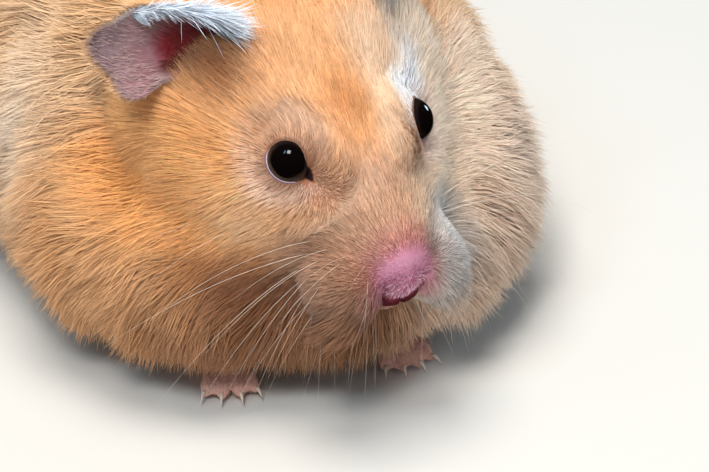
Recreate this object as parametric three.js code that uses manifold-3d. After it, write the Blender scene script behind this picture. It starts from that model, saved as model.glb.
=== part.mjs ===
// A life-size Syrian hamster, crouched on its four feet, its head a little lowered and turned to its left.
// Millimetres, +Z up, nose towards -Y, the animal's left towards +X, origin on the floor under the middle.
// Every solid goes out to the tips of the coat, and a thin gap parts each one from its neighbours.
import * as THREE from "three";
import { mergeVertices } from "three/addons/utils/BufferGeometryUtils.js";
import Module from "manifold-3d";

// ---- Driving dimensions ----------------------------------------------------------------------------
const GAP = 0.3; // air between neighbouring parts
const EYE_HEIGHT = 40; // over the floor, of the point midway between the eyes
const HEAD_PITCH = 14; // degrees, nose down
const HEAD_TURN = 16; // degrees, towards the animal's left
const NOSE_REACH = 18.2; // from between the eyes to the tip of the nose
const NOSE_DROP = -11.2; // of the nose below the middle of the eyes, along the head's own upright
const OCCIPUT = 23; // from between the eyes back to where the neck begins
const EYE_RADIUS = 3.25;
const EYE_SPREAD = 9; // of each eyeball's centre from the middle of the head
const EYE_DROP = -0.9; // of that centre from the height named above
const EAR_THICKNESS = 1;
const CHEST = -7; // the front of the chest, behind the point between the eyes
const RUMP = 110; // the coat's rearmost point, along the spine
const TRUNK_WIDTH = 76;
const TRUNK_SHIFT = -4.5; // the trunk's middle, beside the point between the eyes
const BEND_START = 20; // along the spine
const BEND_RADIUS = 130;
const HAUNCH = 66; // along the spine

const wasm = await Module();
wasm.setup();

// ---- Curves and solids -----------------------------------------------------------------------------

// A smooth curve through [place, value] pairs, level beyond its ends.
function smoothThrough(pairs, place) {
  const last = pairs.length - 1;
  if (place <= pairs[0][0]) return pairs[0][1];
  if (place >= pairs[last][0]) return pairs[last][1];
  const i = pairs.findIndex(([p]) => p > place) - 1;
  const slope = (k) => {
    const [a, b] = [pairs[Math.max(k - 1, 0)], pairs[Math.min(k + 1, last)]];
    return (b[1] - a[1]) / (b[0] - a[0]);
  };
  const [[p0, v0], [p1, v1]] = [pairs[i], pairs[i + 1]];
  const span = p1 - p0;
  const t = (place - p0) / span;
  const bend = t * (1 - t) * ((1 - t) * slope(i) - t * slope(i + 1)) * span;
  return (1 + 2 * t) * (1 - t) ** 2 * v0 + t * t * (3 - 2 * t) * v1 + bend;
}

// A closed rounded body along Y, from the first station to the last. Each station between gives its
// section: the middle (x, z), the half width, the reach above and below, and how much narrower it is
// above than below (pear). Both ends round off by themselves, fuller when blunt is under 1. Square under
// 1 flattens the underside.
function roundedBody(stations, { sides = 48, rings = 32, blunt = 0.85, square = 1, grow = 0 } = {}) {
  const front = stations[0].y - grow;
  const back = stations.at(-1).y + grow;
  const round = (y) => Math.max(1 - ((2 * (y - front)) / (back - front) - 1) ** 2, 0) ** (blunt / 2);
  const full = stations.slice(1, -1);
  const [width, top, bottom] = ["width", "top", "bottom"].map((key) =>
    full.map((s) => [s.y, (s[key] + grow) / round(s.y)]),
  );
  const [middleX, middleZ] = ["x", "z"].map((key) => stations.map((s) => [s.y, s[key] ?? 0]));
  const pear = full.map((s) => [s.y, s.pear ?? 0]);
  const geometry = new THREE.SphereGeometry(1, sides, rings);
  const position = geometry.getAttribute("position");
  const unit = new THREE.Vector3();
  for (let i = 0; i < position.count; i++) {
    unit.fromBufferAttribute(position, i);
    const y = front + ((back - front) * (1 + unit.y)) / 2;
    const cap = Math.hypot(unit.x, unit.z);
    const [circle, up] = cap > 1e-6 ? [unit.x / cap, unit.z / cap] : [0, 0];
    const across = Math.sign(circle) * Math.abs(circle) ** (up < 0 ? square : 1);
    const x = across * (1 - smoothThrough(pear, y) * up) * smoothThrough(width, y) * round(y);
    const z = up * smoothThrough(up > 0 ? top : bottom, y) * round(y);
    position.setXYZ(i, x + smoothThrough(middleX, y), y, z + smoothThrough(middleZ, y));
  }
  return geometry;
}

function ellipsoid(radii, place, { sides = 10, rings = 8, turn = [0, 0, 0] } = {}) {
  const angles = turn.map(THREE.MathUtils.degToRad);
  return new THREE.SphereGeometry(1, sides, rings)
    .scale(...radii)
    .applyMatrix4(new THREE.Matrix4().makeRotationFromEuler(new THREE.Euler(...angles)))
    .translate(...place);
}

// A rounded limb from one joint to the next, with a radius at each end.
function limb(from, to, radiusFrom, radiusTo, { sides = 12, rings = 8 } = {}) {
  const [start, end] = [new THREE.Vector3(...from), new THREE.Vector3(...to)];
  const length = start.distanceTo(end);
  const middle = (radiusFrom + radiusTo) / 2;
  const station = (y, radius) => ({ y, width: radius, top: radius, bottom: radius });
  const stations = [
    { y: -radiusFrom },
    station(0, radiusFrom),
    station(length / 2, middle),
    station(length, radiusTo),
    { y: length + radiusTo },
  ];
  const turn = new THREE.Quaternion().setFromUnitVectors(
    new THREE.Vector3(0, 1, 0),
    end.clone().sub(start).normalize(),
  );
  return roundedBody(stations, { sides, rings, blunt: 1 }).applyQuaternion(turn).translate(...from);
}

function solidOf(...geometries) {
  const solids = geometries.map((geometry) => {
    const bare = new THREE.BufferGeometry();
    bare.setAttribute("position", geometry.getAttribute("position"));
    bare.setIndex(geometry.index);
    const merged = mergeVertices(bare, 1e-4);
    const vertProperties = new Float32Array(merged.getAttribute("position").array);
    const triVerts = new Uint32Array(merged.index.array);
    return new wasm.Manifold(new wasm.Mesh({ numProp: 3, vertProperties, triVerts }));
  });
  return solids.reduce((all, solid) => all.add(solid));
}

function geometryOf(solid) {
  const { vertProperties, triVerts } = solid.getMesh();
  const geometry = new THREE.BufferGeometry();
  geometry.setAttribute("position", new THREE.BufferAttribute(vertProperties, 3));
  geometry.setIndex(new THREE.BufferAttribute(triVerts, 1));
  geometry.computeVertexNormals();
  return geometry;
}

const sides = [["right", -1], ["left", 1]];
const parts = {};

// ---- Head: its own frame has the point between the eyes at the origin and the nose along -Y ---------
const headFrame = new THREE.Matrix4()
  .makeTranslation(0, 0, EYE_HEIGHT)
  .multiply(new THREE.Matrix4().makeRotationZ(THREE.MathUtils.degToRad(HEAD_TURN)))
  .multiply(new THREE.Matrix4().makeRotationX(THREE.MathUtils.degToRad(HEAD_PITCH)));

function headBody(grow = 0) {
  const skull = roundedBody(
    [
      { y: -NOSE_REACH + 0.8, z: NOSE_DROP + 0.6 },
      { y: -15.6, z: -9.2, width: 4.8, top: 4.3, bottom: 4.8 },
      { y: -11, z: -8.6, width: 8.2, top: 7.1, bottom: 7.8, pear: 0.2 },
      { y: -5, z: -7.6, width: 12.2, top: 9.6, bottom: 11.4, pear: 0.34 },
      { y: 1, z: -6.4, width: 16, top: 11.6, bottom: 14, pear: 0.38 },
      { y: 8, z: -5, width: 20.2, top: 13.8, bottom: 16.8, pear: 0.3 },
      { y: 15, z: -4, width: 23.2, top: 15.4, bottom: 18.4, pear: 0.2 },
      { y: 23, z: -4, width: 22.6, top: 15, bottom: 18, pear: 0.1 },
      { y: 36, z: -4 },
    ],
    { sides: 28, rings: 22, blunt: 0.8, grow },
  );
  const grown = (radii) => radii.map((r) => r + grow);
  const whiskerPads = sides.map(([, side]) =>
    ellipsoid(grown([5.5, 7.6, 6.1]), [side * 5.2, -10.9, -12.6], { turn: [0, 0, side * 24] }),
  );
  const chin = ellipsoid(grown([4.8, 7.4, 3.8]), [0, -8.6, -16.8], { turn: [-12, 0, 0] });
  return solidOf(...[skull, ...whiskerPads, chin].map((g) => g.applyMatrix4(headFrame)));
}
const behindOcciput = (offset) => {
  const half = new THREE.BoxGeometry(200, 200, 200).translate(0, 100 + OCCIPUT + offset, 0);
  return solidOf(half.applyMatrix4(headFrame));
};
parts.head = headBody().subtract(behindOcciput(0));
const headGrown = headBody(GAP).subtract(behindOcciput(GAP));

// ---- Trunk: behind the shoulders the spine bends towards the animal's right --------------------------
function bent(geometry) {
  const position = geometry.getAttribute("position");
  for (let i = 0; i < position.count; i++) {
    const [x, y] = [position.getX(i), position.getY(i)];
    const angle = Math.max(y - BEND_START, 0) / BEND_RADIUS;
    const reach = BEND_RADIUS + x;
    position.setX(i, TRUNK_SHIFT + reach * Math.cos(angle) - BEND_RADIUS);
    position.setY(i, Math.min(y, BEND_START) + reach * Math.sin(angle));
  }
  return geometry;
}
function trunkBody(grow = 0) {
  const half = TRUNK_WIDTH / 2;
  const stations = [
    { y: CHEST, z: 20 },
    { y: 3, z: 20, width: 26, top: 17, bottom: 14, pear: 0.1 },
    { y: 15, z: 20, width: half - 2.6, top: 27, bottom: 16.6, pear: 0.16 },
    { y: 25, z: 20.5, width: half - 0.8, top: 35.5, bottom: 17.4, pear: 0.18 },
    { y: 36, z: 21, width: half, top: 39.5, bottom: 18.4, pear: 0.2 },
    { y: 56, z: 22, width: half + 1, top: 41.2, bottom: 19.4, pear: 0.16 },
    { y: 76, z: 22, width: half, top: 40, bottom: 19.4, pear: 0.12 },
    { y: 94, z: 22, width: half - 8, top: 32, bottom: 18.4, pear: 0.1 },
    { y: RUMP, z: 22 },
  ];
  return bent(roundedBody(stations, { sides: 28, rings: 18, square: 0.7, grow }));
}
const trunkGrown = solidOf(trunkBody(GAP));

// The neck runs from the nape slantwise down to the throat. A plane parts it from the trunk behind.
function aheadOfNeckRoot(offset) {
  const half = new THREE.BoxGeometry(200, 200, 200).translate(0, -100, 0);
  return solidOf(half.rotateX(THREE.MathUtils.degToRad(-42)).translate(0, 15 + offset, 30));
}
const trunkWhole = solidOf(trunkBody()).subtract(headGrown);
parts.neck = trunkWhole.intersect(aheadOfNeckRoot(-GAP / 2));
parts.trunk = trunkWhole.subtract(aheadOfNeckRoot(GAP / 2));

// The tail is a short stub that points back and a little down.
const tail = (grow) => solidOf(bent(limb([0, 100, 17], [0, 115, 12], 4 + grow, 2 + grow, { sides: 10, rings: 8 })));
parts.tail = tail(0).subtract(trunkGrown);

// ---- Legs and feet: the legs go up into the trunk, and each foot stands on a small flat -------------
const ground = new THREE.BoxGeometry(300, 300, 20).translate(0, 50, -10);
const underground = (offset) => solidOf(ground.clone().translate(0, 0, offset));

// A foot with its toes fanned out ahead of the palm, each with a short claw. Heading is in degrees, from
// straight ahead towards the animal's left.
function foot({ place, heading, palm, toes, toeLength, fan }) {
  const pieces = [ellipsoid(palm, [0, 0, palm[2] - 0.5])];
  for (let i = 0; i < toes; i++) {
    const share = toes > 1 ? i / (toes - 1) - 0.5 : 0;
    const angle = THREE.MathUtils.degToRad(share * fan);
    const length = toeLength * (1 - 0.5 * share * share * 1.6);
    const ahead = (reach, up) => [
      share * palm[0] * 1.25 + Math.sin(angle) * reach,
      -palm[1] * 0.62 - Math.cos(angle) * reach,
      up,
    ];
    pieces.push(limb(ahead(0, 2.1), ahead(length, 1.15), 1.5, 1.1, { sides: 5, rings: 4 }));
    const claw = new THREE.ConeGeometry(0.6, 2.8, 4).rotateX(Math.PI + 0.3);
    pieces.push(claw.rotateZ(angle).translate(...ahead(length + 1.6, 1.1)));
  }
  const turned = pieces.map((p) => p.rotateZ(THREE.MathUtils.degToRad(heading)).translate(...place));
  return solidOf(...turned).subtract(underground(0));
}

// The room that the leg and the body leave round a foot.
function roomForFoot({ place, heading, palm, toeLength }) {
  const room = ellipsoid([palm[0] + 4, palm[1] + toeLength + 2, 6.4], [0, -toeLength / 2, 0]);
  return solidOf(room.rotateZ(THREE.MathUtils.degToRad(heading)).translate(...place));
}

for (const [name, side] of sides) {
  // Each foreleg comes down under the chest, and the paw lies flat beneath the throat.
  const elbow = [TRUNK_SHIFT + side * 19, 17, 12];
  const wrist = [TRUNK_SHIFT + side * 12, 7.5, 4.6];
  const forepaw = {
    place: [wrist[0], wrist[1] - 1.5, 0], heading: side * 8,
    palm: [3.9, 4.6, 2.6], toes: 4, toeLength: 3.6, fan: 44,
  };
  const foreleg = (grow) => solidOf(limb(elbow, wrist, 8 + grow, 3.8 + grow));

  // The haunch bulges out of the flank where the spine has bent, and the long hind foot lies below it.
  const bend = (HAUNCH - BEND_START) / BEND_RADIUS;
  const reach = BEND_RADIUS + side * 22;
  const hip = [reach * Math.cos(bend) - BEND_RADIUS + TRUNK_SHIFT, BEND_START + reach * Math.sin(bend)];
  const hindfoot = {
    place: [hip[0] + side * 2, hip[1] - 2, 0], heading: THREE.MathUtils.radToDeg(bend) * 0.5 + side * 16,
    palm: [4, 8.6, 2.7], toes: 5, toeLength: 4, fan: 46,
  };
  const hindleg = (grow) =>
    solidOf(
      ellipsoid([17.5 + grow, 25 + grow, 18 + grow], [0, 0, 20], { sides: 16, rings: 10 })
        .rotateZ(bend)
        .translate(...hip, 0),
    );

  const rooms = [roomForFoot(forepaw), roomForFoot(hindfoot), underground(1.5)];
  const clearOf = (solid, others) => others.reduce((rest, other) => rest.subtract(other), solid);
  parts[`forepaw_${name}`] = foot(forepaw);
  parts[`foreleg_${name}`] = clearOf(foreleg(0), rooms).subtract(headGrown);
  parts[`hindfoot_${name}`] = foot(hindfoot);
  parts[`hindleg_${name}`] = clearOf(hindleg(0), rooms);
  for (const near of ["trunk", "neck"]) {
    parts[near] = clearOf(parts[near], [hindleg(GAP), foreleg(GAP), ...rooms]);
  }
}

// ---- Eyes, each a ball in its socket ---------------------------------------------------------------
for (const [name, side] of sides) {
  const ball = (radius) =>
    solidOf(
      ellipsoid([radius, radius, radius], [side * EYE_SPREAD, 0, EYE_DROP], { sides: 14, rings: 10 })
        .applyMatrix4(headFrame),
    );
  parts[`eye_${name}`] = ball(EYE_RADIUS);
  parts.head = parts.head.subtract(ball(EYE_RADIUS + GAP));
}

// ---- Ears: thin cupped leaves. The right one lies out sideways and the left one stands up more -------
// Along runs from the root to the tip and the hollow side is the one that faces forwards.
const ears = {
  right: { side: -1, root: [-15, 15.4, 5.5], along: [-0.887, 0.443, 0.121], facing: [-0.26, -0.7, 0.66] },
  left: { side: 1, root: [14.4, 17, 6], along: [0.7, 0.42, 0.58], facing: [0.3, -0.85, 0.35] },
};
const earOutline = [
  [-180, 8.6], [-150, 6.1], [-110, 5.8], [-65, 7.2], [-27, 7.6], [0, 9.9],
  [27, 7.6], [64, 7], [103, 7.2], [140, 8.4], [180, 8.6],
];
function earLeaf({ side, root, along, facing }) {
  const tipward = new THREE.Vector3(...along).normalize();
  const foreward = tipward.clone().cross(new THREE.Vector3(...facing)).normalize().multiplyScalar(-side);
  const hollow = foreward.clone().cross(tipward).multiplyScalar(-side);
  const geometry = new THREE.SphereGeometry(1, 22, 8);
  const position = geometry.getAttribute("position");
  const unit = new THREE.Vector3();
  const place = new THREE.Vector3();
  for (let i = 0; i < position.count; i++) {
    unit.fromBufferAttribute(position, i);
    const spread = Math.hypot(unit.x, unit.z);
    const angle = Math.atan2(unit.z, unit.x);
    const reach = smoothThrough(earOutline, THREE.MathUtils.radToDeg(angle)) * spread ** 0.8;
    const length = 4 + reach * Math.cos(angle);
    const breadth = reach * Math.sin(angle);
    const curl = Math.max(breadth - 4.6, 0); // the fore edge folds over towards the hollow
    const thickness = Math.sign(unit.y) * Math.abs(unit.y) ** 0.4 * (EAR_THICKNESS / 2);
    place
      .set(...root)
      .addScaledVector(tipward, length)
      .addScaledVector(foreward, breadth - 0.3 * curl ** 1.5)
      .addScaledVector(hollow, thickness - 1.5 + 0.06 * breadth ** 2 + 0.02 * (length - 4) ** 2 + 0.25 * curl ** 2);
    position.setXYZ(i, ...place);
  }
  if (side > 0) geometry.index.array.reverse(); // a mirrored leaf has its faces inside out
  return geometry.applyMatrix4(headFrame);
}
for (const [name, ear] of Object.entries(ears)) {
  parts[`ear_${name}`] = solidOf(earLeaf(ear)).subtract(headGrown).subtract(trunkGrown);
}

// ---- Nose: a small bare pad on the tip of the muzzle, with a slit on each side for the nostril --------
const nosePad = (grow) =>
  solidOf(ellipsoid([2.5 + grow, 1.7 + grow, 2 + grow], [0, -NOSE_REACH + 1, NOSE_DROP]).applyMatrix4(headFrame));
const nostrils = sides.map(([, side]) =>
  ellipsoid([0.9, 1, 0.35], [side * 1.5, -NOSE_REACH - 0.2, NOSE_DROP - 0.7], { sides: 6, rings: 4, turn: [0, side * 30, 0] }),
);
parts.nose = nosePad(0).subtract(solidOf(...nostrils.map((g) => g.applyMatrix4(headFrame))));
parts.head = parts.head.subtract(nosePad(GAP));

// ---- Assembly --------------------------------------------------------------------------------------
const colours = {
  eye: [0x120b09, 0.1], nose: [0xd48f93, 0.6], ear: [0xb89a9a, 0.8],
  forepaw: [0xd8a596, 0.7], hindfoot: [0xd8a596, 0.7], tail: [0xd8a596, 0.8], fur: [0xd9a263, 0.95],
};
const hamster = new THREE.Group();
for (const [name, solid] of Object.entries(parts)) {
  const [color, roughness] = colours[name.split("_")[0]] ?? colours.fur;
  const material = new THREE.MeshStandardMaterial({ color, roughness, metalness: 0 });
  const mesh = new THREE.Mesh(geometryOf(solid), material);
  mesh.name = name;
  hamster.add(mesh);
}

// The origin goes on the floor under the middle of the whole animal.
const bounds = new THREE.Box3().setFromObject(hamster, true);
const middle = bounds.getCenter(new THREE.Vector3());
hamster.position.set(-middle.x, -middle.y, 0);

export default hamster;
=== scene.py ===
import bmesh
import bpy
import numpy as np
from mathutils import Matrix, Vector, kdtree
from mathutils.bvhtree import BVHTree


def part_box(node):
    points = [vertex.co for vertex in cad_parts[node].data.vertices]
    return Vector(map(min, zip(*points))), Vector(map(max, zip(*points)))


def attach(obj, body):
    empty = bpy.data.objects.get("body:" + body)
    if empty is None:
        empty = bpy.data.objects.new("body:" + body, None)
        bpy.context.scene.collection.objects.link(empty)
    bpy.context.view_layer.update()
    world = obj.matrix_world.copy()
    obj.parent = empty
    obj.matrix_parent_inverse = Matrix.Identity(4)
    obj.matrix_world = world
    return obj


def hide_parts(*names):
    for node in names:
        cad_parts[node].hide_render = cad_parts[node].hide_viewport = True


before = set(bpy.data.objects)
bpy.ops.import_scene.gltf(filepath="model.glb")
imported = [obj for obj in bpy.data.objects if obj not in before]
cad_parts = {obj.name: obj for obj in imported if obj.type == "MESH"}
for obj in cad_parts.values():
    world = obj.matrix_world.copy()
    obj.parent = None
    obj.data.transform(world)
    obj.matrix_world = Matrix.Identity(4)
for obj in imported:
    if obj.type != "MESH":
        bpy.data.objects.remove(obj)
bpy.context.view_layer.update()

# ---- Eyes -------------------------------------------------------------------------------------------
# Two glossy balls, nearly black, set at the sides of the head. A dark brown iris shows as a thin ring
# round the wide pupil. They are glass, let into the sockets before the lids are modelled over them.
MM = 0.001
EYE_RADIUS = 3.25
EYE_DROP = -0.9
HEAD_TURN = np.radians(16)
HEAD_PITCH = np.radians(14)


def middle_of(node):
    low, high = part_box(node)
    return np.array((low + high) / 2) / MM


def turn_z(angle):
    c, s = np.cos(angle), np.sin(angle)
    return np.array([[c, -s, 0], [s, c, 0], [0, 0, 1]])


def turn_x(angle):
    c, s = np.cos(angle), np.sin(angle)
    return np.array([[1, 0, 0], [0, c, -s], [0, s, c]])


# The head's own frame: the point between the eyes is its origin and the nose lies along -Y.
HEAD_AXES = turn_z(HEAD_TURN) @ turn_x(HEAD_PITCH)
HEAD_ORIGIN = (middle_of("eye_right") + middle_of("eye_left")) / 2 - HEAD_AXES @ [0, 0, EYE_DROP]
EYES = {"right": (-1, middle_of("eye_right")), "left": (1, middle_of("eye_left"))}


def eye_centre(side):
    return EYES["right" if side < 0 else "left"][1]


def out_of_head(points):
    return HEAD_ORIGIN + np.asarray(points, float) @ HEAD_AXES.T


def into_head(points):
    return (np.asarray(points, float) - HEAD_ORIGIN) @ HEAD_AXES


def unit(vectors):
    vectors = np.asarray(vectors, float)
    return vectors / np.maximum(np.linalg.norm(vectors, axis=-1, keepdims=True), 1e-9)


def srgb(red, green, blue):
    value = np.array([red, green, blue], float) / 255
    return np.where(value <= 0.04045, value / 12.92, ((value + 0.055) / 1.055) ** 2.4)


def lid_axis(side):
    """The way the opening between the lids faces, in the head's frame."""
    return unit([-0.702, -0.568, 0.428] if side < 0 else [0.68, -0.55, 0.485])


def pupil_axis(side):
    return unit([side * 0.6, -0.604, 0.526])


def coloured(mesh, colours):
    layer = mesh.attributes.new("tint", "FLOAT_COLOR", "POINT")
    rgba = np.ones((len(mesh.vertices), 4), np.float32)
    rgba[:, :3] = colours
    layer.data.foreach_set("color", rgba.ravel())


def fine_grain():
    """Fine unevenness that every finish of the animal shares: a shade about 1, a roughness and a height."""
    group = bpy.data.node_groups.new("fine grain", "ShaderNodeTree")
    for name, start in (("Fineness", 900), ("Shade Swing", 0.2), ("Roughness Middle", 0.5), ("Roughness Swing", 0.1)):
        group.interface.new_socket(name, in_out="INPUT", socket_type="NodeSocketFloat").default_value = start
    for name in ("Shade", "Roughness", "Height"):
        group.interface.new_socket(name, in_out="OUTPUT", socket_type="NodeSocketFloat")
    nodes, links = group.nodes, group.links
    given, out = nodes.new("NodeGroupInput"), nodes.new("NodeGroupOutput")
    place, cloud, pores = (nodes.new(f"ShaderNode{kind}") for kind in ("TexCoord", "TexNoise", "TexVoronoi"))
    cloud.inputs["Detail"].default_value = 3
    for texture in (cloud, pores):
        links.new(place.outputs["Object"], texture.inputs["Vector"])
        links.new(given.outputs["Fineness"], texture.inputs["Scale"])
    level = nodes.new("ShaderNodeMath")
    level.operation, level.inputs[1].default_value = "SUBTRACT", 0.5
    links.new(cloud.outputs[0], level.inputs[0])
    for swing, middle, result in (("Shade Swing", 1.0, "Shade"), ("Roughness Swing", "Roughness Middle", "Roughness")):
        spread = nodes.new("ShaderNodeMath")
        spread.operation = "MULTIPLY_ADD"
        links.new(level.outputs[0], spread.inputs[0])
        links.new(given.outputs[swing], spread.inputs[1])
        if isinstance(middle, str):
            links.new(given.outputs[middle], spread.inputs[2])
        else:
            spread.inputs[2].default_value = middle
        links.new(spread.outputs[0], out.inputs[result])
    height = nodes.new("ShaderNodeMath")
    height.operation = "ADD"
    links.new(cloud.outputs[0], height.inputs[0])
    links.new(pores.outputs["Distance"], height.inputs[1])
    links.new(height.outputs[0], out.inputs["Height"])
    return group


GRAIN = fine_grain()


def finish_of(name, roughness, swing=0.1, shade=0.3, fineness=900, bump=0.0, plain=None, **settings):
    """A finish whose colour is the piece's own tint, or plain, with the fine grain over it."""
    material = bpy.data.materials.new(name)
    material.use_nodes = True
    nodes, links = material.node_tree.nodes, material.node_tree.links
    shader = nodes["Principled BSDF"]
    for socket, value in settings.items():
        shader.inputs[socket.replace("_", " ")].default_value = value
    grain = nodes.new("ShaderNodeGroup")
    grain.node_tree = GRAIN
    levels = {"Fineness": fineness, "Shade Swing": shade, "Roughness Middle": roughness, "Roughness Swing": swing}
    for socket, value in levels.items():
        grain.inputs[socket].default_value = value
    blend = nodes.new("ShaderNodeMix")
    blend.data_type, blend.blend_type = "RGBA", "MULTIPLY"
    blend.inputs[0].default_value = 1.0
    if plain is None:
        tint = nodes.new("ShaderNodeAttribute")
        tint.attribute_name = "tint"
        links.new(tint.outputs["Color"], blend.inputs[6])
    else:
        blend.inputs[6].default_value = (*plain, 1)
    links.new(grain.outputs["Shade"], blend.inputs[7])
    links.new(blend.outputs[2], shader.inputs["Base Color"])
    links.new(grain.outputs["Roughness"], shader.inputs["Roughness"])
    if bump:
        relief = nodes.new("ShaderNodeBump")
        relief.inputs["Strength"].default_value = bump
        relief.inputs["Distance"].default_value = 0.0001
        links.new(grain.outputs["Height"], relief.inputs["Height"])
        links.new(relief.outputs["Normal"], shader.inputs["Normal"])
    return material


def placed(name, bm, material):
    mesh = bpy.data.meshes.new(name)
    bm.to_mesh(mesh)
    bm.free()
    return placed_mesh(name, mesh, material)


def placed_mesh(name, mesh, material):
    mesh.materials.append(material)
    mesh.polygons.foreach_set("use_smooth", np.ones(len(mesh.polygons), bool))
    piece = bpy.data.objects.new(name, mesh)
    bpy.context.scene.collection.objects.link(piece)
    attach(piece, "root")
    return piece


PUPIL = srgb(9, 5, 5)
IRIS = srgb(26, 19, 17)
# The pupil's half width and the soft edge round it, in degrees.
PUPIL_REACH, PUPIL_EDGE = 41, 5
eye_gloss = finish_of("wet eye", 0.045, swing=0.02, shade=0.7, fineness=2600, Specular_IOR_Level=0.2)
for side_name, (side, centre) in EYES.items():
    bm = bmesh.new()
    bmesh.ops.create_icosphere(bm, subdivisions=5, radius=EYE_RADIUS * MM)
    directions = unit([v.co for v in bm.verts])
    from_axis = np.degrees(np.arccos(np.clip(directions @ (HEAD_AXES @ pupil_axis(side)), -1, 1)))
    bmesh.ops.translate(bm, verts=bm.verts, vec=Vector(centre * MM))
    eyeball = placed(f"eyeball_{side_name}", bm, eye_gloss)
    ring = np.clip((from_axis - PUPIL_REACH) / PUPIL_EDGE, 0, 1)[:, None]
    coloured(eyeball.data, PUPIL * (1 - ring) + IRIS * ring)
    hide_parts(f"eye_{side_name}")

# ---- Skin -------------------------------------------------------------------------------------------
# One skin runs over the whole animal, from the muzzle to the tail and the toes. It is made from rounded
# bodies, one for each mass of flesh, which melt together, and it lies under the coat.
FRAME_SHIFT = HEAD_ORIGIN - [0, 0, HEAD_ORIGIN[2]]
# The spine: how far it stands to the right, where its bend starts and how round that is, and the hips.
TRUNK_SHIFT = -4.5
BEND_START = 20
BEND_RADIUS = 130
HAUNCH = 66
NECK_FILL = 4.5
FLESH_GRAIN = 1.1
SKIN_GRAIN = 0.55
SOCKET = 3.95
FOOT_TOP = 6
FLOOR_GAP = 0.02


def smooth_through(places, values, at):
    places, values, at = np.asarray(places, float), np.asarray(values, float), np.asarray(at, float)
    count = len(places)
    before, after = np.maximum(np.arange(count) - 1, 0), np.minimum(np.arange(count) + 1, count - 1)
    slopes = (values[after] - values[before]) / (places[after] - places[before])
    at = np.clip(at, places[0], places[-1])
    i = np.clip(np.searchsorted(places, at, side="right") - 1, 0, count - 2)
    span = places[i + 1] - places[i]
    t = (at - places[i]) / span
    bend = t * (1 - t) * ((1 - t) * slopes[i] - t * slopes[i + 1]) * span
    return (1 + 2 * t) * (1 - t) ** 2 * values[i] + t * t * (3 - 2 * t) * values[i + 1] + bend


def fresh_ball(bm, sides, rings):
    made = bmesh.ops.create_uvsphere(bm, u_segments=sides, v_segments=rings, radius=1.0)["verts"]
    return made, np.array([v.co for v in made])


def shaped(verts, points):
    for vert, point in zip(verts, points):
        vert.co = point
    return np.array([v.co for v in verts])


def rounded_body(bm, front, stations, back, place, sides=96, rings=72, blunt=0.85, square=1.0):
    """A closed body along Y. front and back are (y, z). Each station is (y, z, width, top, bottom, pear)."""
    made, _ = fresh_ball(bm, sides, rings)
    bmesh.ops.rotate(bm, verts=made, cent=(0, 0, 0), matrix=Matrix.Rotation(np.pi / 2, 3, "X"))
    ball = np.array([v.co for v in made])
    rows = np.array(stations, float)

    def fullness(y):
        share = (2 * (y - front[0]) / (back[0] - front[0]) - 1) ** 2
        return np.maximum(1 - share, 0) ** (blunt / 2)

    y = front[0] + (back[0] - front[0]) * (1 + ball[:, 1]) / 2
    ring = np.maximum(np.hypot(ball[:, 0], ball[:, 2]), 1e-9)
    circle, up = ball[:, 0] / ring, ball[:, 2] / ring
    across = np.sign(circle) * np.abs(circle) ** np.where(up < 0, square, 1.0)
    swell = fullness(y)
    width, top, bottom = (smooth_through(rows[:, 0], rows[:, k] / fullness(rows[:, 0]), y) for k in (2, 3, 4))
    pear = smooth_through(rows[:, 0], rows[:, 5], y)
    middle = smooth_through([front[0], *rows[:, 0], back[0]], [front[1], *rows[:, 1], back[1]], y)
    shape = np.stack(
        [across * (1 - pear * up) * width * swell, y, middle + up * np.where(up > 0, top, bottom) * swell], axis=1
    )
    return shaped(made, place(shape))


def out_of_trunk(points):
    """The trunk is drawn straight, then its spine bends to the animal's right behind the shoulders."""
    x, y, z = np.asarray(points, float).T
    angle = np.maximum(y - BEND_START, 0) / BEND_RADIUS
    reach = BEND_RADIUS + x
    bent = [TRUNK_SHIFT + reach * np.cos(angle) - BEND_RADIUS, np.minimum(y, BEND_START) + reach * np.sin(angle), z]
    return np.stack(bent, axis=1) + FRAME_SHIFT


def into_trunk(points):
    x, y, z = (np.asarray(points, float) - FRAME_SHIFT).T
    x = x - TRUNK_SHIFT
    angle = np.maximum(np.arctan2(y - BEND_START, BEND_RADIUS + x), 0)
    reach = np.hypot(np.maximum(y - BEND_START, 0), BEND_RADIUS + x)
    return np.stack([reach - BEND_RADIUS, np.minimum(y, BEND_START) + angle * BEND_RADIUS, z], axis=1)


def pebble(bm, radii, centre, place, turn=(0, 0, 0), sides=40, rings=28):
    made, ball = fresh_ball(bm, sides, rings)
    turned = turn_z(np.radians(turn[2])) @ turn_x(np.radians(turn[0]))
    return shaped(made, place((ball * radii) @ turned.T + centre))


def limb(bm, start, end, radius_start, radius_end, place, sides=24, rings=18):
    start, end = np.array(start, float), np.array(end, float)
    made, ball = fresh_ball(bm, sides, rings)
    axis = unit(end - start)
    side = unit(np.cross(axis, [0.3, 0.2, 1.0]))
    other = np.cross(side, axis)
    length = np.linalg.norm(end - start)
    along = ball[:, 2]
    radius = radius_start + (radius_end - radius_start) * (along + 1) / 2
    reach = (along + 1) / 2 * length + along * radius
    swell = (1 - along**2) ** 0.42 * radius
    ring = np.maximum(np.hypot(ball[:, 0], ball[:, 1]), 1e-9)
    points = start + np.outer(reach, axis)
    points = points + np.outer(ball[:, 0] / ring * swell, side) + np.outer(ball[:, 1] / ring * swell, other)
    return shaped(made, place(points))


def in_frame(points):
    return np.asarray(points, float) + FRAME_SHIFT


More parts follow.
